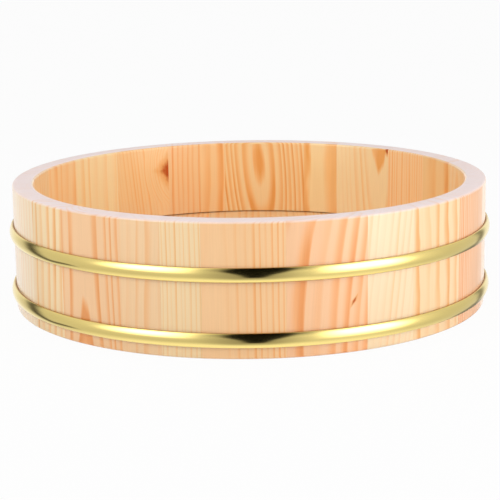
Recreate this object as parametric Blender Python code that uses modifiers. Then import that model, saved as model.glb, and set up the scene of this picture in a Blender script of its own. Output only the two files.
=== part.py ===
"""Sushi rice tub: a coopered ring of pinned side staves round a bottom of pinned boards.

Two half-round brass hoops hold the staves. Metres, +Z up: the tub stands on the XY plane
with its axis on Z, and its front faces -Y.
"""

import math

import bmesh
import bpy
from mathutils import Matrix, Vector

# Staved wall
OUTER_DIAMETER = 0.330
HEIGHT = 0.086
WALL = 0.0145
RIM_ROUNDING = 0.0015
FOOT_ROUNDING = 0.0015

# Stave widths round the outside, going right from the first seam, which is left of the front
FIRST_SEAM_LEFT = 0.0302
STAVE_WIDTHS = (
    0.052, 0.053, 0.036, 0.049, 0.0475, 0.046, 0.046, 0.045,
    0.043, 0.052, 0.030, 0.070, 0.022, 0.029, 0.0505, 0.0505,
    0.046, 0.046, 0.043, 0.040, 0.036, 0.0505, 0.0275, 0.026,
)

# Bottom boards, running front to back, and the groove in the staves that they sit in
FOOT_RECESS = 0.0153
BOARD_THICKNESS = 0.015
BOARD_WIDTHS = (0.058, 0.064, 0.067, 0.061, 0.057)
BOARD_BEVEL = 0.006
GROOVE_DEPTH = 0.003

# Hoops, half-round in section; their places are measured to the middle of the hoop
HOOP_HEIGHT = 0.009
HOOP_THICKNESS = 0.0029
UPPER_HOOP_BELOW_RIM = 0.0327
LOWER_HOOP_ABOVE_FOOT = 0.0123

# Pins, tapered at both ends; the stave pins go up and down by turns, so that holes never meet
PIN_DIAMETER = 0.0036
PIN_TIP_DIAMETER = 0.0022
PIN_LENGTH = 0.018
PIN_TAPER = 0.004
HIGH_PIN_BELOW_RIM = 0.018
LOW_PIN_ABOVE_FLOOR = 0.012
BOARD_PIN_FROM_MIDDLE = 0.040

# Clearances
STAVE_GAP = 0.0003
BOARD_GAP = 0.0003
GROOVE_GAP = 0.0003
HOOP_GAP = 0.0003
PIN_GAP = 0.0003

# Fineness of the round shapes
RING_STEPS = 96
STAVE_FACET = math.radians(4)
ARC_STEPS = 2
HOOP_ARC_STEPS = 8
PIN_SIDES = 12
SMOOTH_ANGLE = math.radians(35)
MERGE_DISTANCE = 0.000001

# Finishes: base colour, roughness, metallic
STAVE_TONES = (
    (0.90, 0.53, 0.27),
    (0.88, 0.50, 0.28),
    (0.87, 0.67, 0.40),
    (0.90, 0.58, 0.31),
)
WOOD_ROUGHNESS = 0.35
BOARD_TONE = (0.74, 0.40, 0.16)
HOOP_TONE = (0.82, 0.66, 0.28)
HOOP_ROUGHNESS = 0.15
PIN_TONE = (0.72, 0.56, 0.30)
PIN_ROUGHNESS = 0.6

outer_radius = OUTER_DIAMETER / 2
inner_radius = outer_radius - WALL
middle_radius = outer_radius - WALL / 2
floor_height = FOOT_RECESS + BOARD_THICKNESS
bottom_radius = inner_radius + GROOVE_DEPTH - GROOVE_GAP
front = -math.pi / 2


def new_collection(name):
    collection = bpy.data.collections.new(name)
    bpy.context.scene.collection.children.link(collection)
    return collection


def new_material(name, colour, roughness, metallic=0.0):
    material = bpy.data.materials.new(name)
    material.use_nodes = True
    shader = material.node_tree.nodes["Principled BSDF"]
    shader.inputs["Base Color"].default_value = (*colour, 1.0)
    shader.inputs["Roughness"].default_value = roughness
    shader.inputs["Metallic"].default_value = metallic
    return material


def add_piece(name, mesh, material):
    """A piece of the tub, as an object under the tub's own empty."""
    piece = bpy.data.objects.new(name, mesh)
    piece.data.materials.append(material)
    piece.parent = tub
    tub_pieces.objects.link(piece)
    return piece


def add_cutter(name, mesh):
    cutter = bpy.data.objects.new(name, mesh)
    cutter.hide_render = True
    cutter.display_type = "WIRE"
    cutters.objects.link(cutter)
    return cutter


def cut(piece, cutter, operation="DIFFERENCE"):
    boolean = piece.modifiers.new(cutter.name, "BOOLEAN")
    boolean.operation = operation
    boolean.object = cutter


def mesh_from(bm, name):
    mesh = bpy.data.meshes.new(name)
    bm.to_mesh(mesh)
    bm.free()
    mesh.shade_smooth()
    mesh.set_sharp_from_angle(angle=SMOOTH_ANGLE)
    return mesh


def profile_mesh(name, points, closed):
    """The edges of a profile in the XZ plane, for turning round Z."""
    bm = bmesh.new()
    corners = [bm.verts.new((x, 0, z)) for x, z in points]
    for start, end in zip(corners, corners[1:]):
        bm.edges.new((start, end))
    if closed:
        bm.edges.new((corners[-1], corners[0]))
    mesh = bpy.data.meshes.new(name)
    bm.to_mesh(mesh)
    bm.free()
    return mesh


def turn(piece, steps):
    screw = piece.modifiers.new("turned", "SCREW")
    screw.steps = steps
    screw.render_steps = steps
    screw.use_merge_vertices = True
    screw.merge_threshold = MERGE_DISTANCE


def rounded_outline(corners):
    """Points of a closed outline of (x, z, radius) corners; a corner with a radius is square."""
    points = []
    for index, (x, z, radius) in enumerate(corners):
        corner = Vector((x, z))
        if radius == 0:
            points.append(corner)
            continue
        back = (Vector(corners[index - 1][:2]) - corner).normalized() * radius
        ahead = (Vector(corners[(index + 1) % len(corners)][:2]) - corner).normalized() * radius
        for step in range(ARC_STEPS + 1):
            along = math.pi / 2 * step / ARC_STEPS
            points.append(corner + back * (1 - math.sin(along)) + ahead * (1 - math.cos(along)))
    return points


def wall_section():
    """The staves' section: straight outside, grooved inside for the edge of the bottom."""
    groove_back = inner_radius + GROOVE_DEPTH
    groove_top = floor_height + GROOVE_GAP
    # The groove's lower side slopes at 45 degrees, parallel to the bevel of the boards
    bevel_top = FOOT_RECESS + BOARD_BEVEL + GROOVE_GAP * (1 - math.sqrt(2))
    return rounded_outline((
        (outer_radius, HEIGHT, RIM_ROUNDING),
        (outer_radius, 0, FOOT_ROUNDING),
        (inner_radius, 0, FOOT_ROUNDING),
        (inner_radius, bevel_top - GROOVE_DEPTH, 0),
        (groove_back, bevel_top, 0),
        (groove_back, groove_top, 0),
        (inner_radius, groove_top, 0),
        (inner_radius, HEIGHT, RIM_ROUNDING),
    ))


def stave_mesh(name, angle):
    """The wall's section as one face, spun round the tub's axis through the stave's angle."""
    bm = bmesh.new()
    section = bm.faces.new([bm.verts.new((x, 0, z)) for x, z in wall_section()])
    start = Matrix.Rotation(-angle / 2, 3, "Z")
    bmesh.ops.rotate(bm, verts=bm.verts, cent=(0, 0, 0), matrix=start)
    steps = math.ceil(angle / STAVE_FACET)
    bmesh.ops.spin(bm, geom=[section], cent=(0, 0, 0), axis=(0, 0, 1), angle=angle, steps=steps)
    bmesh.ops.recalc_face_normals(bm, faces=bm.faces)
    return mesh_from(bm, name)


def pin_profile(radius, tip_radius, length, taper):
    """A pin's half outline, down its outer side from tip to tip."""
    end = length / 2
    shoulder = end - taper
    return (
        (0, end), (tip_radius, end), (radius, shoulder),
        (radius, -shoulder), (tip_radius, -end), (0, -end),
    )


def add_pin(name, place, rotation):
    """A pin across a joint, and the cutter for the blind holes that it sits in."""
    profile = pin_profile(PIN_DIAMETER / 2, PIN_TIP_DIAMETER / 2, PIN_LENGTH, PIN_TAPER)
    mesh = profile_mesh(name, profile, closed=False)
    pin = add_piece(name, mesh, new_material(name + "_bamboo", PIN_TONE, PIN_ROUGHNESS))
    hole_radius = PIN_DIAMETER / 2 + PIN_GAP
    hole_profile = pin_profile(hole_radius, hole_radius, PIN_LENGTH + 2 * PIN_GAP, PIN_TAPER)
    hole = add_cutter(name + "_hole", profile_mesh(name + "_hole", hole_profile, closed=False))
    for turned in (pin, hole):
        turned.location = place
        turned.rotation_euler = rotation
        turn(turned, PIN_SIDES)
    return hole


def add_stave_pins(seams):
    """One pin at each seam, across the joint, high and low by turns."""
    heights = (HEIGHT - HIGH_PIN_BELOW_RIM, floor_height + LOW_PIN_ABOVE_FLOOR)
    holes = []
    for number, seam in enumerate(seams):
        place = (middle_radius * math.cos(seam), middle_radius * math.sin(seam), heights[number % 2])
        across = (-math.pi / 2, 0, seam)
        holes.append(add_pin(f"stave_pin_{number + 1:02d}", place, across))
    return holes


def add_staves():
    """The ring of staves: the widths are spread so that the ring always closes."""
    turn_per_width = 2 * math.pi / sum(STAVE_WIDTHS)
    spans = [width * turn_per_width for width in STAVE_WIDTHS]
    seams = [front - FIRST_SEAM_LEFT / outer_radius]
    for span in spans[:-1]:
        seams.append(seams[-1] + span)
    holes = add_stave_pins(seams)
    for number, (seam, span) in enumerate(zip(seams, spans)):
        name = f"stave_{number + 1:02d}"
        tone = STAVE_TONES[number % len(STAVE_TONES)]
        mesh = stave_mesh(name, span - STAVE_GAP / outer_radius)
        stave = add_piece(name, mesh, new_material(name + "_wood", tone, WOOD_ROUGHNESS))
        stave.rotation_euler.z = seam + span / 2
        cut(stave, holes[number])
        cut(stave, holes[(number + 1) % len(holes)])


def bottom_blank():
    """The whole round bottom, bevelled below, that each board is a strip of."""
    bevel_radius = bottom_radius - BOARD_BEVEL
    bevel_top = FOOT_RECESS + BOARD_BEVEL
    profile = (
        (0, floor_height), (bottom_radius, floor_height), (bottom_radius, bevel_top),
        (bevel_radius, FOOT_RECESS), (0, FOOT_RECESS),
    )
    blank = add_cutter("bottom_blank", profile_mesh("bottom_blank", profile, closed=False))
    turn(blank, RING_STEPS)
    return blank


def strip_mesh(name, left, right):
    """A box over the bottom from left to right, longer and taller than the boards."""
    bm = bmesh.new()
    size = Matrix.Diagonal((right - left, OUTER_DIAMETER, HEIGHT, 1))
    bmesh.ops.create_cube(bm, size=1, matrix=Matrix.Translation(((left + right) / 2, 0, 0)) @ size)
    return mesh_from(bm, name)


def add_bottom():
    """Boards side by side along X, pinned through their joints, as strips of one round."""
    blank = bottom_blank()
    middle_height = FOOT_RECESS + BOARD_THICKNESS / 2
    width_scale = 2 * bottom_radius / sum(BOARD_WIDTHS)
    joints = [-bottom_radius]
    for width in BOARD_WIDTHS:
        joints.append(joints[-1] + width * width_scale)
    holes = []
    for number, joint in enumerate(joints[1:-1]):
        side = 1 if number % 2 == 0 else -1
        place = (joint, side * BOARD_PIN_FROM_MIDDLE, middle_height)
        holes.append(add_pin(f"board_pin_{number + 1}", place, (0, math.pi / 2, 0)))
    last = len(BOARD_WIDTHS) - 1
    for number in range(len(BOARD_WIDTHS)):
        left = -outer_radius if number == 0 else joints[number] + BOARD_GAP / 2
        right = outer_radius if number == last else joints[number + 1] - BOARD_GAP / 2
        name = f"bottom_board_{number + 1}"
        wood = new_material(name + "_wood", BOARD_TONE, WOOD_ROUGHNESS)
        board = add_piece(name, strip_mesh(name, left, right), wood)
        board.location.z = middle_height
        cut(board, blank, "INTERSECT")
        for hole in holes[max(number - 1, 0):number + 1]:
            cut(board, hole)


def add_hoop(name, height):
    """A half-oval section, flat against the wall, turned round the tub's axis."""
    flat = outer_radius + HOOP_GAP
    profile = []
    for step in range(HOOP_ARC_STEPS + 1):
        along = math.pi * step / HOOP_ARC_STEPS
        profile.append((flat + HOOP_THICKNESS * math.sin(along), HOOP_HEIGHT / 2 * math.cos(along)))
    brass = new_material(name + "_brass", HOOP_TONE, HOOP_ROUGHNESS, metallic=1.0)
    hoop = add_piece(name, profile_mesh(name, profile, closed=True), brass)
    hoop.location.z = height
    turn(hoop, RING_STEPS)


for old in list(bpy.data.objects):
    bpy.data.objects.remove(old, do_unlink=True)

tub_pieces = new_collection("sushi_rice_tub")
cutters = new_collection("joinery_cutters")
tub = bpy.data.objects.new("tub_axis", None)
tub_pieces.objects.link(tub)

add_staves()
add_bottom()
add_hoop("upper_hoop", HEIGHT - UPPER_HOOP_BELOW_RIM)
add_hoop("lower_hoop", LOWER_HOOP_ABOVE_FOOT)
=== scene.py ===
# %% [markdown]
# # A sushi rice tub
# This lesson dresses a coopered wooden tub for its portrait. The tub comes in as a frame of plain solids:
# side staves, bottom boards, two hoops and the pins hidden in the joints. Each cell below makes one finer
# piece over its solid, or one finish, and the last cells set up the studio and the camera.

# %% Load the plain tub
import math
from collections import namedtuple

import bmesh
import bpy
from mathutils import Matrix, Vector


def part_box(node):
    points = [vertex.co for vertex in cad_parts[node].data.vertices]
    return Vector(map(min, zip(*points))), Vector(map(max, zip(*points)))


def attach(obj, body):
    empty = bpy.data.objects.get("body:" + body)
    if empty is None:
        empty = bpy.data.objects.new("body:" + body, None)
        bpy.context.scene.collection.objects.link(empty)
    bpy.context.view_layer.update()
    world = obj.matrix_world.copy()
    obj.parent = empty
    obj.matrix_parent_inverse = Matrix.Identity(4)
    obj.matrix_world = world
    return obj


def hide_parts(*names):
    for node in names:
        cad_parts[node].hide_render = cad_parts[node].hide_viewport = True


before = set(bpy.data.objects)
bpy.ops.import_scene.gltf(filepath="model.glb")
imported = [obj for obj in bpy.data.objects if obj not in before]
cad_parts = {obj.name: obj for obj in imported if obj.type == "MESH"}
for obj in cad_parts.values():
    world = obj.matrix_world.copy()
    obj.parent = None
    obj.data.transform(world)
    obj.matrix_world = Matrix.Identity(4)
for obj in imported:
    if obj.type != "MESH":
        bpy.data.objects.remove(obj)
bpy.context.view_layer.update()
print("nodes loaded:", len(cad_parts))

# %% [markdown]
# ## Sizes, read from the solids
# A fitter measures the carcass before cutting the trim. The same goes here: the radii, the heights and
# the places of the seams are read from the loaded solids, so nothing has to be fitted by eye afterwards.

# %% Measure the wall, the floor and the hoops
def distances_from_axis(node):
    """Least and greatest distance of a node's points from the tub's axis."""
    distances = [point.co.xy.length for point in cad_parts[node].data.vertices]
    return min(distances), max(distances)


stave_names = sorted(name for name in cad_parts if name[:6] == "stave_" and "pin" not in name)
board_names = sorted(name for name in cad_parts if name.startswith("bottom_board"))
inner_radius, outer_radius = distances_from_axis(stave_names[0])
rim_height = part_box(stave_names[0])[1].z
floor_underside, floor_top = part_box(board_names[0])[0].z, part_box(board_names[0])[1].z
bottom_radius = -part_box(board_names[0])[0].x
print(f"outside {outer_radius:.4f}, inside {inner_radius:.4f}, rim {rim_height:.4f}, floor {floor_top:.4f}")


# %% Find where each stave starts and ends round the axis
def arc(node):
    """The azimuths where a stave starts and ends, in radians."""
    points = [point.co.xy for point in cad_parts[node].data.vertices]
    middle = sum(points, Vector((0, 0)))
    heading = math.atan2(middle.y, middle.x)
    straight = Matrix.Rotation(-heading, 2)
    turns = [math.atan2((straight @ point).y, (straight @ point).x) for point in points]
    return heading + min(turns), heading + max(turns)


SEAM = 0.00005
stave_arcs = {name: arc(name) for name in stave_names}
cad_gap = stave_arcs[stave_names[1]][0] - stave_arcs[stave_names[0]][1]
widening = (cad_gap - SEAM / outer_radius) / 2
stave_arcs = {name: (start - widening, end + widening) for name, (start, end) in stave_arcs.items()}
print("staves:", len(stave_arcs))

# %% [markdown]
# ## Sums with sockets
# A procedural finish is a long sum, and a long sum is easier to read as Python than as a web of nodes.
# This small class wraps one socket. Adding or multiplying two wires adds a Math node, and `node` adds any
# other.

# %% One class for shader maths
class Wire:
    """A shader socket that Python can do sums with."""

    def __init__(self, tree, socket=None):
        self.tree = tree
        self.socket = socket

    def node(self, kind, settings, inputs, output=0):
        """Adds a node, sets it up, then fills its inputs with values or with other wires."""
        made = self.tree.nodes.new("ShaderNode" + kind)
        for name, value in settings.items():
            if name == "stops":
                set_stops(made.color_ramp, value)
            else:
                setattr(made, name, value)
        for name, value in inputs.items():
            if isinstance(value, Wire):
                self.tree.links.new(value.socket, made.inputs[name])
            else:
                made.inputs[name].default_value = value
        return Wire(self.tree, made.outputs[output])

    def maths(self, operation, *values):
        """Adds a Math node that works on these values."""
        return self.node("Math", {"operation": operation}, dict(enumerate(values)))

    def __add__(self, other):
        return self.maths("ADD", self, other)

    def __sub__(self, other):
        return self.maths("SUBTRACT", self, other)

    def __rsub__(self, other):
        return self.maths("SUBTRACT", other, self)

    def __mul__(self, other):
        return self.maths("MULTIPLY", self, other)

    def __truediv__(self, other):
        return self.maths("DIVIDE", self, other)

    __radd__ = __add__
    __rmul__ = __mul__


def set_stops(ramp, stops):
    """Gives a colour ramp these (place, colour) stops."""
    while len(ramp.elements) < len(stops):
        ramp.elements.new(1.0)
    for element, (place, colour) in zip(ramp.elements, stops):
        element.position = place
        element.color = (*colour, 1.0)


def split(vector):
    """The X, Y and Z of a vector, as three wires."""
    made = vector.node("SeparateXYZ", {}, {"Vector": vector})
    return [Wire(vector.tree, socket) for socket in made.socket.node.outputs]


def rise(value, low, high):
    """0 below low, 1 above high, and a smooth climb between them."""
    settings = {"interpolation_type": "SMOOTHSTEP"}
    return value.node("MapRange", settings, {"Value": value, "From Min": low, "From Max": high})


def size_of(value):
    """A value without its sign."""
    return value.maths("ABSOLUTE", value)


def lumps(vector, per_metre, detail=2.0):
    """Noise from 0 to 1, with so many lumps per metre along X, Y and Z."""
    stretched = vector.node("VectorMath", {"operation": "MULTIPLY"}, {0: vector, 1: per_metre})
    return vector.node("TexNoise", {}, {"Vector": stretched, "Scale": 1.0, "Detail": detail})


def blend(kind, share, first, second):
    """Two colours mixed, multiplied or otherwise blended."""
    settings = {"data_type": "RGBA", "blend_type": kind}
    return first.node("Mix", settings, {0: share, 6: first, 7: second}, 2)


def new_material(name):
    """An empty finish, a wire to build it with, and its shader."""
    material = bpy.data.materials.new(name)
    material.use_nodes = True
    shader = material.node_tree.nodes["Principled BSDF"]
    return material, Wire(material.node_tree), shader


def carried(tree, name, output="Vector"):
    """What a piece's own vertices carry under this name."""
    return tree.node("Attribute", {"attribute_name": name}, {}, output)


def feed(wire, shader, socket_name):
    """Plugs a wire into a socket of a shader."""
    wire.tree.links.new(wire.socket, shader.inputs[socket_name])


print("shader helpers ready")

# %% [markdown]
# ## Clear-lacquered softwood
# A stave shows the rings of the tree that it was sawn from: pale spring wood that darkens to an orange
# line at the end of each summer. A picture of grain wrapped round the tub would break at every edge. Here
# the wood is solid instead: each vertex carries the place in the log where it was cut, and the finish
# works out the ring there. Flat-sawn faces, upright stripes and the arcs on the sawn ends then all come
# from one rule. End grain soaks up the lacquer, so the top of the wall stays dull; its pale, bluish tint
# is a painted sheen.

# %% Growth rings from a place in the log
SPRING_WOOD = (0.91, 0.64, 0.365)
MIDDLE_WOOD = (0.90, 0.50, 0.215)
SUMMER_WOOD = (0.83, 0.365, 0.105)
WANDER = 0.0045
BENDS = (13.0, 13.0, 6.0)
SLOW_WAVES = (70.0, 70.0, 18.0)
FINE_WAVES = (300.0, 300.0, 10.0)
UNEVEN_YEARS = 1.1
FAINTEST_YEAR = 0.3


def ring_distance(place, swell, wander):
    """How far a point lies from the middle of the log, with the log's bends and a swelling."""
    across, out, along = split(place)
    out = out + swell * along * along
    squared = across * across + out * out
    bend = lumps(place, BENDS, 1.0) - 0.5
    return squared.maths("SQRT", squared) + bend * wander * WANDER


def ripple(place, wander):
    """Small waves in the rings, in years: a slow one along the grain, and a finer one among its fibres."""
    slow = lumps(place, SLOW_WAVES) - 0.5
    fine = lumps(place, FINE_WAVES) - 0.5
    return slow * (wander * 0.35 + 0.12) + fine * 0.16


def summer_line(years, summer_start):
    """How dark the wood is after so many years: 0 in spring wood, up to 1 at the end of a summer."""
    slowly = {"W": years * 0.35, "Scale": 1.0, "Detail": 1.0}
    uneven = years.node("TexNoise", {"noise_dimensions": "1D"}, slowly)
    years = years + (uneven - 0.5) * UNEVEN_YEARS
    season = years.maths("FRACT", years)
    year = years.maths("FLOOR", years)
    weather = years.node("TexWhiteNoise", {"noise_dimensions": "1D"}, {"W": year})
    summer_end = summer_start * 0.3 + 0.77
    line = rise(season, summer_start, summer_end) * (1.0 - rise(season, summer_end, 1.0))
    return line * (weather * (1.0 - FAINTEST_YEAR) + FAINTEST_YEAR)


print("ring rule ready")


# %% Knots and the whole wood finish
KNOT_HEART = (0.48, 0.075, 0.003, 1.0)
KNOT_HALO = (0.82, 0.33, 0.06, 1.0)
WOOD_ROUGHNESS = 0.42
WOOD_GLOSS = 0.2
LACQUER = 1.0
LACQUER_ROUGHNESS = 0.26
GRAIN_STRENGTH = 0.12
GRAIN_DEPTH = 0.0002
PATCHES = (50.0, 50.0, 11.0)
FIBRES = (1600.0, 1600.0, 26.0)
CLOUDS = (45.0, 45.0, 9.0)
KNOT_NICKS = (500.0, 500.0, 260.0)


def lacquered_wood(name):
    """Softwood under clear lacquer, read from what each piece says of its place in the log."""
    material, tree, shader = new_material(name)
    place = carried(tree, "log_point")
    ring_width, swell, boldness = split(carried(tree, "log_facts"))
    first_year, summer_start, wander = split(carried(tree, "log_lines"))
    across, push, along = split(carried(tree, "knot_point"))
    tint = carried(tree, "tint", "Color")
    film = carried(tree, "tint", "Alpha")
    to_knot = size_of(across) + size_of(along)

    bulge = push * (1.0 - rise(across * across + along * along, 0.2, 9.0))
    distance = ring_distance(place, swell, wander) + bulge
    years = distance / ring_width + first_year + ripple(place, wander)
    bright_patch = rise(lumps(place, PATCHES, 1.0), 0.40, 0.62)
    line = summer_line(years, summer_start) * boldness * (1.0 - bright_patch * 0.45)
    fibre = lumps(place, FIBRES, 3.0)
    cloud = lumps(place, CLOUDS)
    wood_tones = {"stops": ((0.0, SPRING_WOOD), (0.5, MIDDLE_WOOD), (1.0, SUMMER_WOOD))}
    colour = line.node("ValToRGB", wood_tones, {"Fac": line + (cloud - 0.5) * 0.35})
    colour = blend("MULTIPLY", 1.0, colour, tint)

    ragged = to_knot + (lumps(place, KNOT_NICKS) - 0.5) * 0.7
    heart = 1.0 - rise(ragged, 0.35, 1.15)
    colour = blend("MIX", (1.0 - rise(ragged, 0.8, 2.0)) * 0.75, colour, KNOT_HALO)
    colour = blend("MIX", heart, colour, KNOT_HEART)
    colour = colour.node("HueSaturation", {}, {"Color": colour, "Value": fibre * 0.12 + 0.94})
    feed(colour, shader, "Base Color")
    feed(WOOD_ROUGHNESS - line * 0.1 + fibre * 0.06, shader, "Roughness")
    relief = {"Strength": GRAIN_STRENGTH, "Distance": GRAIN_DEPTH, "Height": fibre + line}
    feed(fibre.node("Bump", {}, relief), shader, "Normal")
    feed((LACQUER - heart * 0.7) * film, shader, "Coat Weight")
    shader.inputs["Specular IOR Level"].default_value = WOOD_GLOSS
    shader.inputs["Coat Roughness"].default_value = LACQUER_ROUGHNESS
    return material


wood = lacquered_wood("lacquered_softwood")
print("wood nodes:", len(wood.node_tree.nodes))

# %% [markdown]
# ## Where each stave was sawn
# The cooper takes staves from different boards, so each has its own figure. A cut says where the log's
# middle lies from the face of the stave, how the log leans and tapers, how wide its rings are and how
# pale it is; at the two ends of the wall the paler, bluish part of that tint is a painted sheen. A middle
# far to one side gives upright stripes, and one behind the face gives flame shapes.
# `start` is where summer begins in a year, `phase` shifts the years, `wander` bends the rings, `fade` makes
# the lines bolder towards one side, and `inside` says that the figure was chosen for the inner face.

# %% The cuts, one for each stave
Cut = namedtuple(
    "Cut", "pith depth ring tint bold lean tilt swell centre start phase wander fade inside",
    defaults=(1.0, 0.0, 0.0, 0.0, 0.04, 0.3, 0.0, 1.0, 0.0, False),
)
TAN = (0.98, 1.00, 1.00)
HONEY = (1.00, 0.98, 0.92)

CUTS = {
    "stave_01": Cut(-0.014, 0.030, 0.0022, (1.06, 0.95, 0.87), 0.6, tilt=0.003, start=0.5, wander=0.6,
                    fade=40),
    "stave_02": Cut(-0.0265, 0.040, 0.0050, (1.05, 0.90, 0.89), 1.15, lean=0.08, swell=-0.6, centre=0.030,
                    phase=3.66, wander=0.3, start=0.15),
    "stave_03": Cut(-0.050, 0.030, 0.0042, (1.03, 1.12, 1.26), 0.38, lean=0.12, wander=1.3),
    "stave_04": Cut(-0.080, 0.030, 0.0095, (1.02, 1.04, 1.05), 1.05, lean=-0.02, wander=2.2),
    "stave_05": Cut(0.090, 0.020, 0.0028, (1.03, 0.86, 0.85), 1.3, start=0.5, fade=-35),
    # stave_06 ends the wall on the right: the paler, bluish part of its tint is a painted sheen of the white
    # room at a grazing angle.
    "stave_06": Cut(-0.070, 0.040, 0.0040, (1.10, 1.20, 1.56), 0.5, lean=0.05),
    "stave_07": Cut(0.004, 0.028, 0.0032, TAN, 0.9, tilt=0.04),
    "stave_08": Cut(0.060, 0.030, 0.0160, (0.99, 0.94, 0.79), 1.6, start=0.2, phase=-99.30, inside=True),
    "stave_09": Cut(0.075, 0.020, 0.0027, (1.05, 0.99, 0.91), 1.0, start=0.4, inside=True),
    "stave_10": Cut(-0.0122, 0.026, 0.0024, (1.02, 1.10, 1.08), 0.9, tilt=-0.038, centre=0.087, start=0.25,
                    phase=19.91, wander=0.3, fade=-45, inside=True),
    "stave_11": Cut(0.050, 0.030, 0.0200, (1.02, 1.07, 0.97), 1.3, phase=-100.32, start=0.3, wander=1.5,
                    inside=True),
    "stave_12": Cut(0.0041, 0.022, 0.0025, (0.99, 0.98, 0.88), 1.4, lean=0.06, swell=0.9, centre=0.070,
                    phase=-160.13, start=0.1, wander=0.3, inside=True),
    "stave_13": Cut(0.060, 0.010, 0.0095, (1.01, 0.93, 0.80), 1.4, phase=-0.31, wander=1.3, inside=True),
    "stave_14": Cut(-0.070, 0.020, 0.0045, (1.00, 0.89, 0.77), 1.0, start=0.4, wander=1.6, inside=True),
    "stave_15": Cut(0.075, 0.030, 0.0029, (1.02, 0.945, 0.80), 0.65, lean=0.12, start=0.4, inside=True),
    "stave_16": Cut(0.060, 0.050, 0.0065, (1.05, 1.14, 1.12), 0.5, inside=True),
    "stave_17": Cut(0.050, 0.040, 0.0070, (1.05, 0.99, 0.895), 0.7, inside=True),
    "stave_18": Cut(-0.080, 0.020, 0.0030, TAN, 0.9),
    # stave_19 and stave_20 end the wall on the left: the paler, bluish part of their tints is a painted sheen
    # of the white room at a grazing angle.
    "stave_19": Cut(0.005, 0.032, 0.0034, (1.05, 1.18, 1.50), 0.6, tilt=-0.04, centre=0.05),
    "stave_20": Cut(0.070, 0.030, 0.0050, (1.06, 1.22, 1.48), 0.6, lean=0.04),
    "stave_21": Cut(-0.060, 0.035, 0.0062, (1.04, 1.12, 1.16), 1.15, lean=0.04),
    "stave_22": Cut(-0.0043, 0.024, 0.0031, (1.02, 0.915, 0.875), 1.2, swell=-0.28, centre=0.080, start=0.4,
                    phase=-159.77, wander=0.25),
    "stave_23": Cut(0.045, 0.050, 0.0052, (1.02, 0.98, 0.97), 0.5, lean=0.03),
    "stave_24": Cut(-0.080, 0.020, 0.0030, (1.03, 1.09, 1.10), 0.75, start=0.5),
}
print("cuts:", len(CUTS))


# %% Carry the log's coordinates on the mesh
NO_KNOT = (9.0, 0.0, 9.0)
Knot = namedtuple("Knot", "across height width tall slant push", defaults=(0.0, 0.0))
KNOTS = {
    "stave_15": Knot(-0.0225, 0.0670, 0.0075, 0.0095, push=0.009),
    "stave_10": Knot(-0.0228, 0.0850, 0.0022, 0.0034),
    "stave_02": Knot(0.0170, 0.0330, 0.0012, 0.0030, slant=0.6),
}
# Painted sheen: the sawn top of the wall is tinted pale and bluish, standing in for the white room shining on
# it.
PAINTED_RIM_SHEEN = Vector((0.98, 1.17, 2.00))
END_LINES = 0.3
SOAKED = 0.9
FAINTEST = 0.15
EDGE_ROUND = 0.0015
SHARP_EDGE = math.radians(40)


def log_matrix(cut, origin, across, out, along):
    """Takes a point of a piece to its place in the log: across the face, out of the log, along it."""
    rows = (across - along * cut.lean, out + along * cut.tilt, along)
    offsets = (-cut.pith, cut.depth, 0.0)
    lines = [(*row, offset - row.dot(origin)) for row, offset in zip(rows, offsets)]
    return Matrix((*lines, (0.0, 0.0, 0.0, 1.0)))


def end_grain_share(place):
    """1 on the sawn top of the wall, fading to 0 down the rounding of its outer edge."""
    share = 1.0 - (rim_height - place.z) / EDGE_ROUND
    outside = place.xy.length > (inner_radius + outer_radius) / 2
    return max(share, 0.0) if outside or share > 0.99 else 0.0


def mark_wood(bm, cut, to_log, knot=None, to_face=None):
    """Writes on every vertex where in its log it lies, and what that log is like there."""
    vectors = bm.verts.layers.float_vector
    names = ("log_point", "log_facts", "log_lines", "knot_point")
    log_point, log_facts, log_lines, knot_point = [vectors.new(name) for name in names]
    tint = bm.verts.layers.float_color.new("tint")
    for vert in bm.verts:
        on_rim = end_grain_share(vert.co)
        place = to_log @ vert.co
        bold = cut.bold * max(1.0 + cut.fade * (place.x + cut.pith), FAINTEST)
        vert[log_point] = place
        vert[log_facts] = (cut.ring, cut.swell, bold * (1.0 + (END_LINES - 1.0) * on_rim))
        vert[log_lines] = (cut.phase - cut.depth / cut.ring, cut.start, cut.wander)
        # The rim's tint is a painted sheen, pale and bluish; its thinner coat is end grain soaking up
        # lacquer.
        vert[tint] = (*Vector(cut.tint).lerp(PAINTED_RIM_SHEEN, on_rim), 1.0 - on_rim * SOAKED)
        vert[knot_point] = NO_KNOT
        if knot and on_rim < 0.5:
            on_face = to_face @ vert.co
            up = on_face.z - knot.height
            sideways = on_face.x - knot.across - up * knot.slant
            vert[knot_point] = (sideways / knot.width, knot.push, up / knot.tall)


def finish_piece(bm, name, node, material):
    """Turns a finished bmesh into a piece that rides on the tub and stands for a node."""
    bmesh.ops.recalc_face_normals(bm, faces=bm.faces)
    mesh = bpy.data.meshes.new(name)
    bm.to_mesh(mesh)
    bm.free()
    mesh.shade_smooth()
    mesh.set_sharp_from_angle(angle=SHARP_EDGE)
    mesh.materials.append(material)
    piece = bpy.data.objects.new(name, mesh)
    bpy.context.scene.collection.objects.link(piece)
    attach(piece, "root")
    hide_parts(node)
    return piece


print("knots:", len(KNOTS))

# %% [markdown]
# ## The staves
# A stave is a short plank, rounded to the tub's curve, with eased edges at the rim and the foot and a
# groove for the bottom. It could be cut out of a ring, but spinning its section through its own angle
# gives clean faces that follow the curve. Blind holes in its two edges take the pins, as on the real tub.

# %% Drill a blind hole into a flat face
HOLE_SIDES = 20
PIN_PLAY = 0.0001
pin_low, pin_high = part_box("board_pin_1")
pin_length = pin_high.x - pin_low.x
pin_radius = (pin_high.z - pin_low.z) / 2


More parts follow.
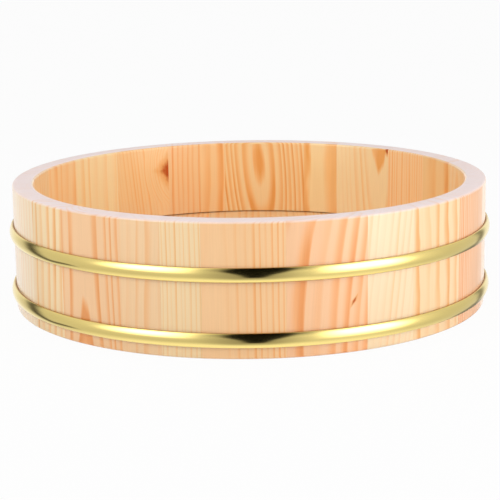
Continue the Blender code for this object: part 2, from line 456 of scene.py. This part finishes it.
def drill(bm, face, mouth):
    """Sinks a pin hole at mouth, a point on the face."""
    inwards = -face.normal
    outline = list(face.edges)
    bmesh.ops.delete(bm, geom=[face], context="FACES_ONLY")
    aim = Matrix.Translation(mouth) @ inwards.to_track_quat("Z", "Y").to_matrix().to_4x4()
    circle = bmesh.ops.create_circle(bm, segments=HOLE_SIDES, radius=pin_radius + PIN_PLAY, matrix=aim)
    mouth_edges = list({edge for vert in circle["verts"] for edge in vert.link_edges})
    bmesh.ops.triangle_fill(bm, use_beauty=True, edges=outline + mouth_edges, normal=-inwards)
    sunk = bmesh.ops.extrude_edge_only(bm, edges=mouth_edges)["geom"]
    end_verts = [item for item in sunk if isinstance(item, bmesh.types.BMVert)]
    bmesh.ops.translate(bm, verts=end_verts, vec=inwards * (pin_length / 2 + PIN_PLAY))
    end_edges = [item for item in sunk if isinstance(item, bmesh.types.BMEdge)]
    bmesh.ops.contextual_create(bm, geom=end_edges)


print(f"pins are {pin_length:.4f} long and {2 * pin_radius:.4f} thick")


# %% Spin a stave's section
EDGE_SEGMENTS = 5
STEP = math.radians(0.75)
FLOOR_SEAM = 0.0007
BOARD_BEVEL = 0.006
GROOVE_SLOPE = 0.003
groove_back = bottom_radius + FLOOR_SEAM
groove_low = floor_underside + BOARD_BEVEL


def stave_bmesh(start, end):
    """A stave's section as one face, its four outer corners rounded, spun from start to end."""
    bm = bmesh.new()
    outline = (
        (outer_radius, rim_height), (outer_radius, 0), (inner_radius, 0),
        (inner_radius, groove_low - GROOVE_SLOPE), (groove_back, groove_low),
        (groove_back, floor_top + FLOOR_SEAM), (inner_radius, floor_top + FLOOR_SEAM),
        (inner_radius, rim_height),
    )
    corners = [bm.verts.new((radius, 0, height)) for radius, height in outline]
    bm.faces.new(corners)
    rounded = [corners[0], corners[1], corners[2], corners[-1]]
    bmesh.ops.bevel(
        bm, geom=rounded, offset=EDGE_ROUND, segments=EDGE_SEGMENTS, profile=0.5, affect="VERTICES",
        material=-1,
    )
    turn = Matrix.Rotation(start, 3, "Z")
    bmesh.ops.rotate(bm, verts=bm.verts, cent=(0, 0, 0), matrix=turn)
    steps = math.ceil((end - start) / STEP)
    bmesh.ops.spin(
        bm, geom=bm.faces[:], cent=(0, 0, 0), axis=(0, 0, 1), angle=end - start, steps=steps, use_merge=False
    )
    bmesh.ops.recalc_face_normals(bm, faces=bm.faces)
    return bm


def pin_middle(node):
    """The middle of a pin."""
    low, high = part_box(node)
    return (low + high) / 2


def add_stave(number, name):
    """A drilled stave with its own cut of the log."""
    start, end = stave_arcs[name]
    bm = stave_bmesh(start, end)
    pins = [pin_middle(f"stave_pin_{each % len(stave_names) + 1:02d}") for each in (number, number + 1)]
    for face in [face for face in bm.faces if len(face.verts) > 4]:
        pin = min(pins, key=lambda place: abs(face.normal.dot(place - face.calc_center_median())))
        onto_face = face.normal.dot(face.verts[0].co - pin)
        drill(bm, face, pin + face.normal * onto_face)
    middle = (start + end) / 2
    out, along = Vector((math.cos(middle), math.sin(middle), 0)), Vector((0, 0, 1))
    across = along.cross(out)
    cut = CUTS[name]
    origin = out * (inner_radius if cut.inside else outer_radius) + along * cut.centre
    to_face = Matrix((across, out, along)).to_4x4()
    mark_wood(bm, cut, log_matrix(cut, origin, across, out, along), KNOTS.get(name), to_face)
    return finish_piece(bm, "side_" + name, name, wood)


staves = [add_stave(number, name) for number, name in enumerate(stave_names)]
print("triangles in the first stave:", sum(len(face.vertices) - 2 for face in staves[0].data.polygons))

# %% [markdown]
# ## The bottom boards
# The bottom is a round of boards, pinned edge to edge and bevelled underneath so that it drives up into
# the groove. A round disc cut by two planes gives each board its true curved ends.

# %% Cut the boards from a round
DISC_SEGMENTS = 240
BOARD_SEAM = 0.00015
SAME_POINT = 1e-6
TOUCHING = 1e-5
SIDEWAYS = 0.999
JOINT_AREA = 0.001
FLOOR_CUTS = (
    Cut(0.020, 0.040, 0.0030, TAN, 0.9, lean=0.02),
    Cut(-0.060, 0.030, 0.0036, HONEY, 0.9),
    Cut(-0.055, 0.030, 0.0042, TAN, 0.7),
    Cut(0.070, 0.030, 0.0032, HONEY, 0.9, lean=-0.02),
    Cut(-0.012, 0.040, 0.0048, TAN, 1.0, tilt=-0.03),
)


def board_bmesh(left, right):
    """A strip of the round bottom, from left to right, with a bevelled lower rim."""
    bm = bmesh.new()
    top = Matrix.Translation((0, 0, floor_top))
    bmesh.ops.create_circle(bm, cap_ends=True, segments=DISC_SEGMENTS, radius=bottom_radius, matrix=top)
    for edge, side in ((left, -1), (right, 1)):
        if abs(edge) < bottom_radius - SEAM:
            everything = bm.verts[:] + bm.edges[:] + bm.faces[:]
            bmesh.ops.bisect_plane(
                bm, geom=everything, dist=SAME_POINT, plane_co=(edge, 0, 0), plane_no=(side, 0, 0),
                clear_outer=True,
            )
    lower = bmesh.ops.extrude_face_region(bm, geom=bm.faces[:])["geom"]
    verts = [item for item in lower if isinstance(item, bmesh.types.BMVert)]
    bmesh.ops.translate(bm, verts=verts, vec=(0, 0, floor_underside - floor_top))
    rim_verts = {
        vert for vert in bm.verts
        if vert.co.z < floor_top - TOUCHING and vert.co.xy.length > bottom_radius - TOUCHING
    }
    lower_rim = [edge for edge in bm.edges if rim_verts.issuperset(edge.verts)]
    bmesh.ops.bevel(
        bm, geom=lower_rim, offset=BOARD_BEVEL, segments=1, profile=0.5, affect="EDGES", material=-1
    )
    bmesh.ops.recalc_face_normals(bm, faces=bm.faces)
    return bm


def add_board(number, name):
    """A drilled board of the bottom with its own cut of the log."""
    low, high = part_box(name)
    left = low.x - BOARD_SEAM / 2
    right = high.x + BOARD_SEAM / 2
    bm = board_bmesh(left, right)
    pins = [pin_middle(f"board_pin_{each + 1}") for each in range(len(board_names) - 1)]
    upright = [face for face in bm.faces if abs(face.normal.x) > SIDEWAYS]
    for face in [face for face in upright if face.calc_area() > JOINT_AREA]:
        joint = face.calc_center_median().x
        pin = min(pins, key=lambda place: abs(place.x - joint))
        drill(bm, face, Vector((joint, pin.y, pin.z)))
    cut = FLOOR_CUTS[number]
    origin = Vector(((low.x + high.x) / 2, 0, floor_top))
    to_log = log_matrix(cut, origin, Vector((1, 0, 0)), Vector((0, 0, 1)), Vector((0, 1, 0)))
    mark_wood(bm, cut, to_log)
    return finish_piece(bm, f"floor_board_{number + 1}", name, wood)


boards = [add_board(number, name) for number, name in enumerate(board_names)]
print("boards:", len(boards))

# %% [markdown]
# ## The hoops
# The hoops are half-round brass wire, brazed into rings and driven on until they bite. A half-round
# section spun round the axis is exactly that. Polished brass is mostly what it reflects, so its finish is
# a plain warm metal with faint drawing marks round the ring. The corners where the hoop meets the wall
# get a painted shade, darker in colour and rougher, which stands in for the contact shadow there.

# %% Polished brass
BRASS = (0.94, 0.745, 0.265)
DULL_BRASS = tuple(channel * 0.94 for channel in BRASS)
# Painted shade: the colour the corners against the wall are darkened towards, standing in for the contact
# shadow there.
CORNER_SHADE = (0.42, 0.27, 0.13)
DRAWING_MARKS = (9.0, 9.0, 2600.0)
TARNISH = (30.0, 30.0, 60.0)


def polished_brass(name):
    """Warm metal with drawing marks, faint clouds and painted shade in the corners by the wall."""
    material, tree, shader = new_material(name)
    where = tree.node("TexCoord", {}, {}, "Object")
    marks = lumps(where, DRAWING_MARKS, 3.0)
    cloud = lumps(where, TARNISH)
    tone = marks.node("ValToRGB", {"stops": ((0.0, DULL_BRASS), (1.0, BRASS))}, {"Fac": cloud})
    # Painted shade: the corners by the wall are darkened in the base colour for the contact shadow there, and
    # made rougher.
    grime = carried(tree, "grime", "Fac")
    feed(blend("MULTIPLY", grime, tone, (*CORNER_SHADE, 1.0)), shader, "Base Color")
    feed(marks * 0.05 + cloud * 0.04 + grime * 0.3 + 0.07, shader, "Roughness")
    shader.inputs["Metallic"].default_value = 1.0
    return material


brass = polished_brass("polished_brass")
print("brass nodes:", len(brass.node_tree.nodes))

# %% Spin the half-round section
ARC_SEGMENTS = 180
RING_STEPS = 288
SHOULDER = 0.00155
SHOULDER_EASE = 0.0004
EASE_SEGMENTS = 3
FOOT_EASE = 0.0005
# How far into the eased corner the painted shade reaches.
SHADED_CORNER_DEPTH = 0.0007


def add_hoop(name, node):
    """A shallow arc on two low shoulders, eased where it meets the wall, spun round the axis."""
    low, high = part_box(node)
    half_height = (high.z - low.z) / 2
    middle = (low.z + high.z) / 2
    bulge = high.x - outer_radius - SHOULDER
    arc_radius = (half_height ** 2 + bulge ** 2) / (2 * bulge)
    bm = bmesh.new()
    stand = Matrix.Rotation(math.pi / 2, 4, "X")
    bmesh.ops.create_circle(bm, segments=ARC_SEGMENTS, radius=arc_radius, matrix=stand)
    bmesh.ops.translate(bm, verts=bm.verts, vec=(high.x - arc_radius, 0, middle))
    bmesh.ops.bisect_plane(
        bm, geom=bm.verts[:] + bm.edges[:], dist=SAME_POINT, plane_co=(outer_radius + SHOULDER, 0, 0),
        plane_no=(-1, 0, 0), clear_outer=True,
    )
    ends = [vert for vert in bm.verts if len(vert.link_edges) == 1]
    shoulders = bmesh.ops.extrude_vert_indiv(bm, verts=ends)["verts"]
    bmesh.ops.translate(bm, verts=shoulders, vec=(FOOT_EASE - SHOULDER, 0, 0))
    feet = bmesh.ops.extrude_vert_indiv(bm, verts=shoulders)["verts"]
    for foot in feet:
        inwards = math.copysign(FOOT_EASE, middle - foot.co.z)
        bmesh.ops.translate(bm, verts=[foot], vec=(-FOOT_EASE, 0, inwards))
    bmesh.ops.contextual_create(bm, geom=feet)
    bmesh.ops.spin(
        bm, geom=bm.verts[:] + bm.edges[:], cent=(0, 0, 0), axis=(0, 0, 1), angle=math.tau, steps=RING_STEPS,
        use_merge=True,
    )
    bmesh.ops.remove_doubles(bm, verts=bm.verts, dist=SAME_POINT)
    corner = Vector((outer_radius + SHOULDER, half_height))
    corner_verts = {
        vert for vert in bm.verts
        if (Vector((vert.co.xy.length, abs(vert.co.z - middle))) - corner).length < TOUCHING
    }
    corner_edges = [edge for edge in bm.edges if corner_verts.issuperset(edge.verts)]
    bmesh.ops.bevel(
        bm, geom=corner_edges, offset=SHOULDER_EASE, segments=EASE_SEGMENTS, profile=0.5, affect="EDGES",
        material=-1,
    )
    # Painted shade mask: 1 in the eased corners against the wall, falling to 0 where the rounded face begins.
    grime = bm.verts.layers.float.new("grime")
    for vert in bm.verts:
        depth = outer_radius + SHOULDER - vert.co.xy.length
        vert[grime] = min(max(depth / SHADED_CORNER_DEPTH, 0.0), 1.0)
    return finish_piece(bm, name, node, brass)


hoops = [add_hoop("brass_hoop_upper", "upper_hoop"), add_hoop("brass_hoop_lower", "lower_hoop")]
print("triangles in a hoop:", sum(len(face.vertices) - 2 for face in hoops[0].data.polygons))

# %% [markdown]
# ## The hidden pins
# The pins stay as they are, because only someone who takes the tub apart sees them. They are split
# bamboo, so they get a straw colour with long dark fibres.

# %% Split bamboo for the pins
BAMBOO_PALE = (0.72, 0.56, 0.30)
BAMBOO_DARK = (0.45, 0.30, 0.12)
BAMBOO_FIBRES = (900.0, 900.0, 1800.0)


def split_bamboo(name):
    """Straw-coloured cane with dark fibres."""
    material, tree, shader = new_material(name)
    where = tree.node("TexCoord", {}, {}, "Object")
    fibres = lumps(where, BAMBOO_FIBRES)
    tone = fibres.node("ValToRGB", {"stops": ((0.3, BAMBOO_DARK), (0.6, BAMBOO_PALE))}, {"Fac": fibres})
    feed(tone, shader, "Base Color")
    feed(fibres * 0.2 + 0.5, shader, "Roughness")
    return material


bamboo = split_bamboo("split_bamboo")
pin_names = [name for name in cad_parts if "pin" in name]
for name in pin_names:
    pin_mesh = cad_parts[name].data
    pin_mesh.materials.clear()
    pin_mesh.materials.append(bamboo)
print("pins:", len(pin_names))

# %% [markdown]
# ## The studio
# The tub stands on a white table under two soft lights. Polished metal in an all-white room looks like
# plastic: what makes it read as brass is the dark things that it mirrors. Dark cards round the tub could
# do that, but each hoop would mirror them at another size. Here the world shows a whole room to
# reflections: two lights with a dark gap between them, dim posts at the far ends and a floor that is
# brightest near the tub. The world is endlessly far away, so both hoops mirror the same picture. The
# lamps light the wood but stay out of reflections, because the room already shows them. All directions
# are in degrees: azimuth 0 lies on the camera's side and grows to the right, and elevation 0 is level.

# %% Kinds of rays, and soft patches in a direction
def ray_is(tree, kind):
    """1 for one kind of ray and 0 for all others."""
    return tree.node("LightPath", {}, {}, f"Is {kind} Ray")


def near(value, centre, full, none):
    """1 while a value lies within full of a centre, then a smooth fall to 0 at none."""
    return 1.0 - rise(size_of(value - centre), full, none)


print("direction helpers ready")

# %% The lit part of the room
WALL_LIGHT = 0.70
HIGH_WALL_LIGHT = 0.1
FLOOR_LIGHT = 0.41
FAR_END_LIGHT = 0.3
RIGHT_CORE = 3.0
RIGHT_SPILL = 0.7
LEFT_CORE = 2.9
LEFT_SPILL = 0.3
DUSK = 0.45
CEILING_SHADE = 0.9


def right_light(azimuth, elevation):
    """The tall light on the right, with its spill on the wall."""
    down = 0.0 - elevation
    spill = near(azimuth, 58.0, 0.0, 50.0) * (1.0 - rise(down, -25.0, 58.0)) * RIGHT_SPILL
    core = near(azimuth - elevation * 0.08, 55.5, 8.0, 29.0) * rise(elevation, -32.0, 22.0) * RIGHT_CORE
    return (spill + core) * (1.0 - rise(elevation, 30.0, 58.0))


def left_light(azimuth, elevation):
    """The light on the left, which hangs higher and leans the other way."""
    spill = near(azimuth, -53.0, 2.0, 50.0) * rise(elevation, -30.0, 40.0) * LEFT_SPILL
    core = near(azimuth + elevation * 0.14, -49.6, 4.0, 31.0) * rise(elevation, -8.0, 30.0) * LEFT_CORE
    return spill + core * (1.0 - rise(elevation, 38.0, 66.0))


def lit_walls(azimuth, elevation):
    """The room without its dark things: dim walls, two lights with their spill, and a bright floor."""
    down = 0.0 - elevation
    walls = rise(elevation, 0.0, 40.0) * HIGH_WALL_LIGHT + rise(down, 27.0, 63.0) * FLOOR_LIGHT + WALL_LIGHT
    ends = rise(size_of(azimuth), 128.0, 152.0) * FAR_END_LIGHT
    lights = walls + ends + right_light(azimuth, elevation) + left_light(azimuth, elevation)
    dusk = near(azimuth, 0.0, 4.0, 32.0) * (1.0 - rise(down, 42.0, 70.0)) * DUSK
    ceiling = near(azimuth, 8.0, 10.0, 46.0) * rise(elevation, 15.0, 58.0) * CEILING_SHADE
    return lights * (1.0 - dusk) * (1.0 - ceiling)


print("brightest light in the room:", max(LEFT_CORE, RIGHT_CORE))


# %% The dark things in the room
GAP_DARKNESS = 0.985
LEFT_POST_DARKNESS = 0.87
LEFT_FOOT_DARKNESS = 0.8
RIGHT_POST_DARKNESS = 0.68
RIGHT_FOOT_DARKNESS = 0.72


def dark_gap(azimuth, elevation):
    """The unlit wall behind the camera, which narrows from the ceiling to the floor."""
    up = elevation.maths("MAXIMUM", elevation, 0.0)
    left = -5.4 - elevation * 0.10 - up * 0.18
    left = left.maths("MAXIMUM", left, -14.5)
    right = elevation * 0.13 + up * 0.17 + 10.6
    soft = up * 0.05 + 1.5
    sides = rise(azimuth, left - soft, left + soft) * (1.0 - rise(azimuth, right - soft, right + soft))
    return sides * rise(elevation, -41.0, -26.0) * GAP_DARKNESS


def far_posts(azimuth, elevation):
    """A dark post at the far left and a thinner one at the far right, each with a foot along the floor."""
    up = elevation.maths("MAXIMUM", elevation, 0.0)
    left_post = near(azimuth, -121.0 - up * 0.43, 0.0, 12.0) * near(elevation, -4.0, 26.0, 34.0)
    left_post = left_post * LEFT_POST_DARKNESS
    left_foot = near(azimuth, -112.0, 8.0, 18.0) * near(elevation, -30.0, 1.0, 7.5) * LEFT_FOOT_DARKNESS
    lean = up.maths("MAXIMUM", -8.0 - elevation, 0.0) * 0.45
    right_post = near(azimuth, lean + 138.5, 0.0, 9.0) * near(elevation, -12.0, 22.0, 32.0)
    right_post = right_post * RIGHT_POST_DARKNESS
    right_foot = rise(azimuth, 130.0, 145.0) * near(elevation, -27.0, 4.0, 12.0) * RIGHT_FOOT_DARKNESS
    left = up.maths("MAXIMUM", left_post, left_foot)
    return left + up.maths("MAXIMUM", right_post, right_foot)


print("darkest thing in the room lets through:", round(1.0 - GAP_DARKNESS, 3))


# %% The world: white for the camera, a soft fill for the wood, the room for reflections
FILL = 0.56
DEGREES = 180.0 / math.pi


def mirrored_room(sky):
    """How bright the room is in each direction. Azimuth 0 points to the camera's side."""
    x, y, z = split(sky.node("TexCoord", {}, {}, "Generated"))
    azimuth = x.maths("ARCTAN2", x, 0.0 - y) * DEGREES
    elevation = z.maths("ARCSINE", z) * DEGREES
    gap = dark_gap(azimuth, elevation)
    return lit_walls(azimuth, elevation) * (1.0 - gap) * (1.0 - far_posts(azimuth, elevation))


world = bpy.data.worlds.new("white_studio")
world.use_nodes = True
bpy.context.scene.world = world
sky = Wire(world.node_tree)
background = world.node_tree.nodes["Background"]
seen = ray_is(sky, "Camera") + ray_is(sky, "Transmission")
mirrored = ray_is(sky, "Glossy") * (mirrored_room(sky) - FILL)
feed(seen * (1.0 - FILL) + mirrored + FILL, background, "Color")
print("world nodes:", len(world.node_tree.nodes))

# %% The table
TABLE_SIZE = 12.0
TABLE_WHITE = 0.75
TABLE_GLOW = 0.95


def add_to_stage(bm, name, material):
    """Makes a stage object from a bmesh."""
    mesh = bpy.data.meshes.new(name)
    bm.to_mesh(mesh)
    bm.free()
    mesh.materials.append(material)
    thing = bpy.data.objects.new(name, mesh)
    bpy.context.scene.collection.objects.link(thing)
    return thing


def glowing_table(name):
    """A white top that stays white for the camera and keeps its shadow."""
    material, tree, shader = new_material(name)
    material.node_tree.nodes.remove(shader)
    matt = tree.node("BsdfDiffuse", {}, {"Color": (TABLE_WHITE, TABLE_WHITE, TABLE_WHITE, 1.0)})
    glow = tree.node("Emission", {}, {"Color": (1.0, 1.0, 1.0, 1.0), "Strength": 1.0})
    seen = ray_is(tree, "Camera") + ray_is(tree, "Transmission")
    share = seen * TABLE_GLOW
    lit = share.node("MixShader", {}, {0: share, 1: matt, 2: glow})
    feed(lit, material.node_tree.nodes["Material Output"], "Surface")
    return material


bm = bmesh.new()
bmesh.ops.create_grid(bm, x_segments=1, y_segments=1, size=TABLE_SIZE / 2)
table = add_to_stage(bm, "white_table", glowing_table("white_table_top"))
table.visible_glossy = False
print("table:", TABLE_SIZE, "m")


# %% Soft lights at both sides
def bright_middle(light):
    """Makes a soft light fade from its middle to its rim, as cloth over a lamp does."""
    light.use_nodes = True
    emission = light.node_tree.nodes["Emission"]
    tree = Wire(light.node_tree)
    across, up, _ = split(tree.node("NewGeometry", {}, {}, "Parametric"))
    across = across * 2.0 - 1.0
    up = up * 2.0 - 1.0
    inside = 1.0 - rise(across * across + up * up, 0.0, 1.0)
    feed(inside, emission, "Color")


def add_softbox(name, azimuth, distance, height, size, radiance):
    """A soft light with so much brightness in its middle, aimed at the middle of the tub."""
    light = bpy.data.lights.new(name, "AREA")
    light.shape = "RECTANGLE"
    light.size, light.size_y = size
    light.energy = radiance * math.pi * light.size * light.size_y
    bright_middle(light)
    lamp = bpy.data.objects.new(name, light)
    bpy.context.scene.collection.objects.link(lamp)
    turn = math.radians(azimuth)
    lamp.location = (distance * math.sin(turn), -distance * math.cos(turn), height)
    lamp.rotation_euler = (Vector((0, 0, rim_height / 2)) - lamp.location).to_track_quat("-Z", "Y").to_euler()
    lamp.visible_camera = False
    lamp.visible_glossy = False
    return lamp


lamps = [
    add_softbox("left_softbox", azimuth=-55, distance=1.0, height=0.66, size=(0.82, 1.25), radiance=4.0),
    add_softbox("right_softbox", azimuth=58, distance=1.0, height=0.34, size=(0.90, 1.15), radiance=4.2),
]
print("lamps:", len(lamps))

# %% [markdown]
# ## The camera
# The portrait is taken from a little above the rim, with a long lens. Matching the ellipses of the rim
# and the hoops in the picture gave the distance, the height and a very slight roll.

# %% Set up the camera
CAMERA_PLACE = Vector((0.0, -1.077, 0.273))
CAMERA_PITCH = math.radians(-12.62)
CAMERA_ROLL = math.radians(-0.82)
LENS = 111.7

camera = bpy.data.cameras.new("portrait_camera")
camera.lens = LENS
camera_object = bpy.data.objects.new("portrait_camera", camera)
bpy.context.scene.collection.objects.link(camera_object)
tip = Matrix.Rotation(math.pi / 2 + CAMERA_PITCH, 4, "X")
camera_object.matrix_world = Matrix.Translation(CAMERA_PLACE) @ tip @ Matrix.Rotation(CAMERA_ROLL, 4, "Z")
bpy.context.scene.camera = camera_object
bpy.context.scene.view_settings.view_transform = "Standard"
print("lens:", LENS)
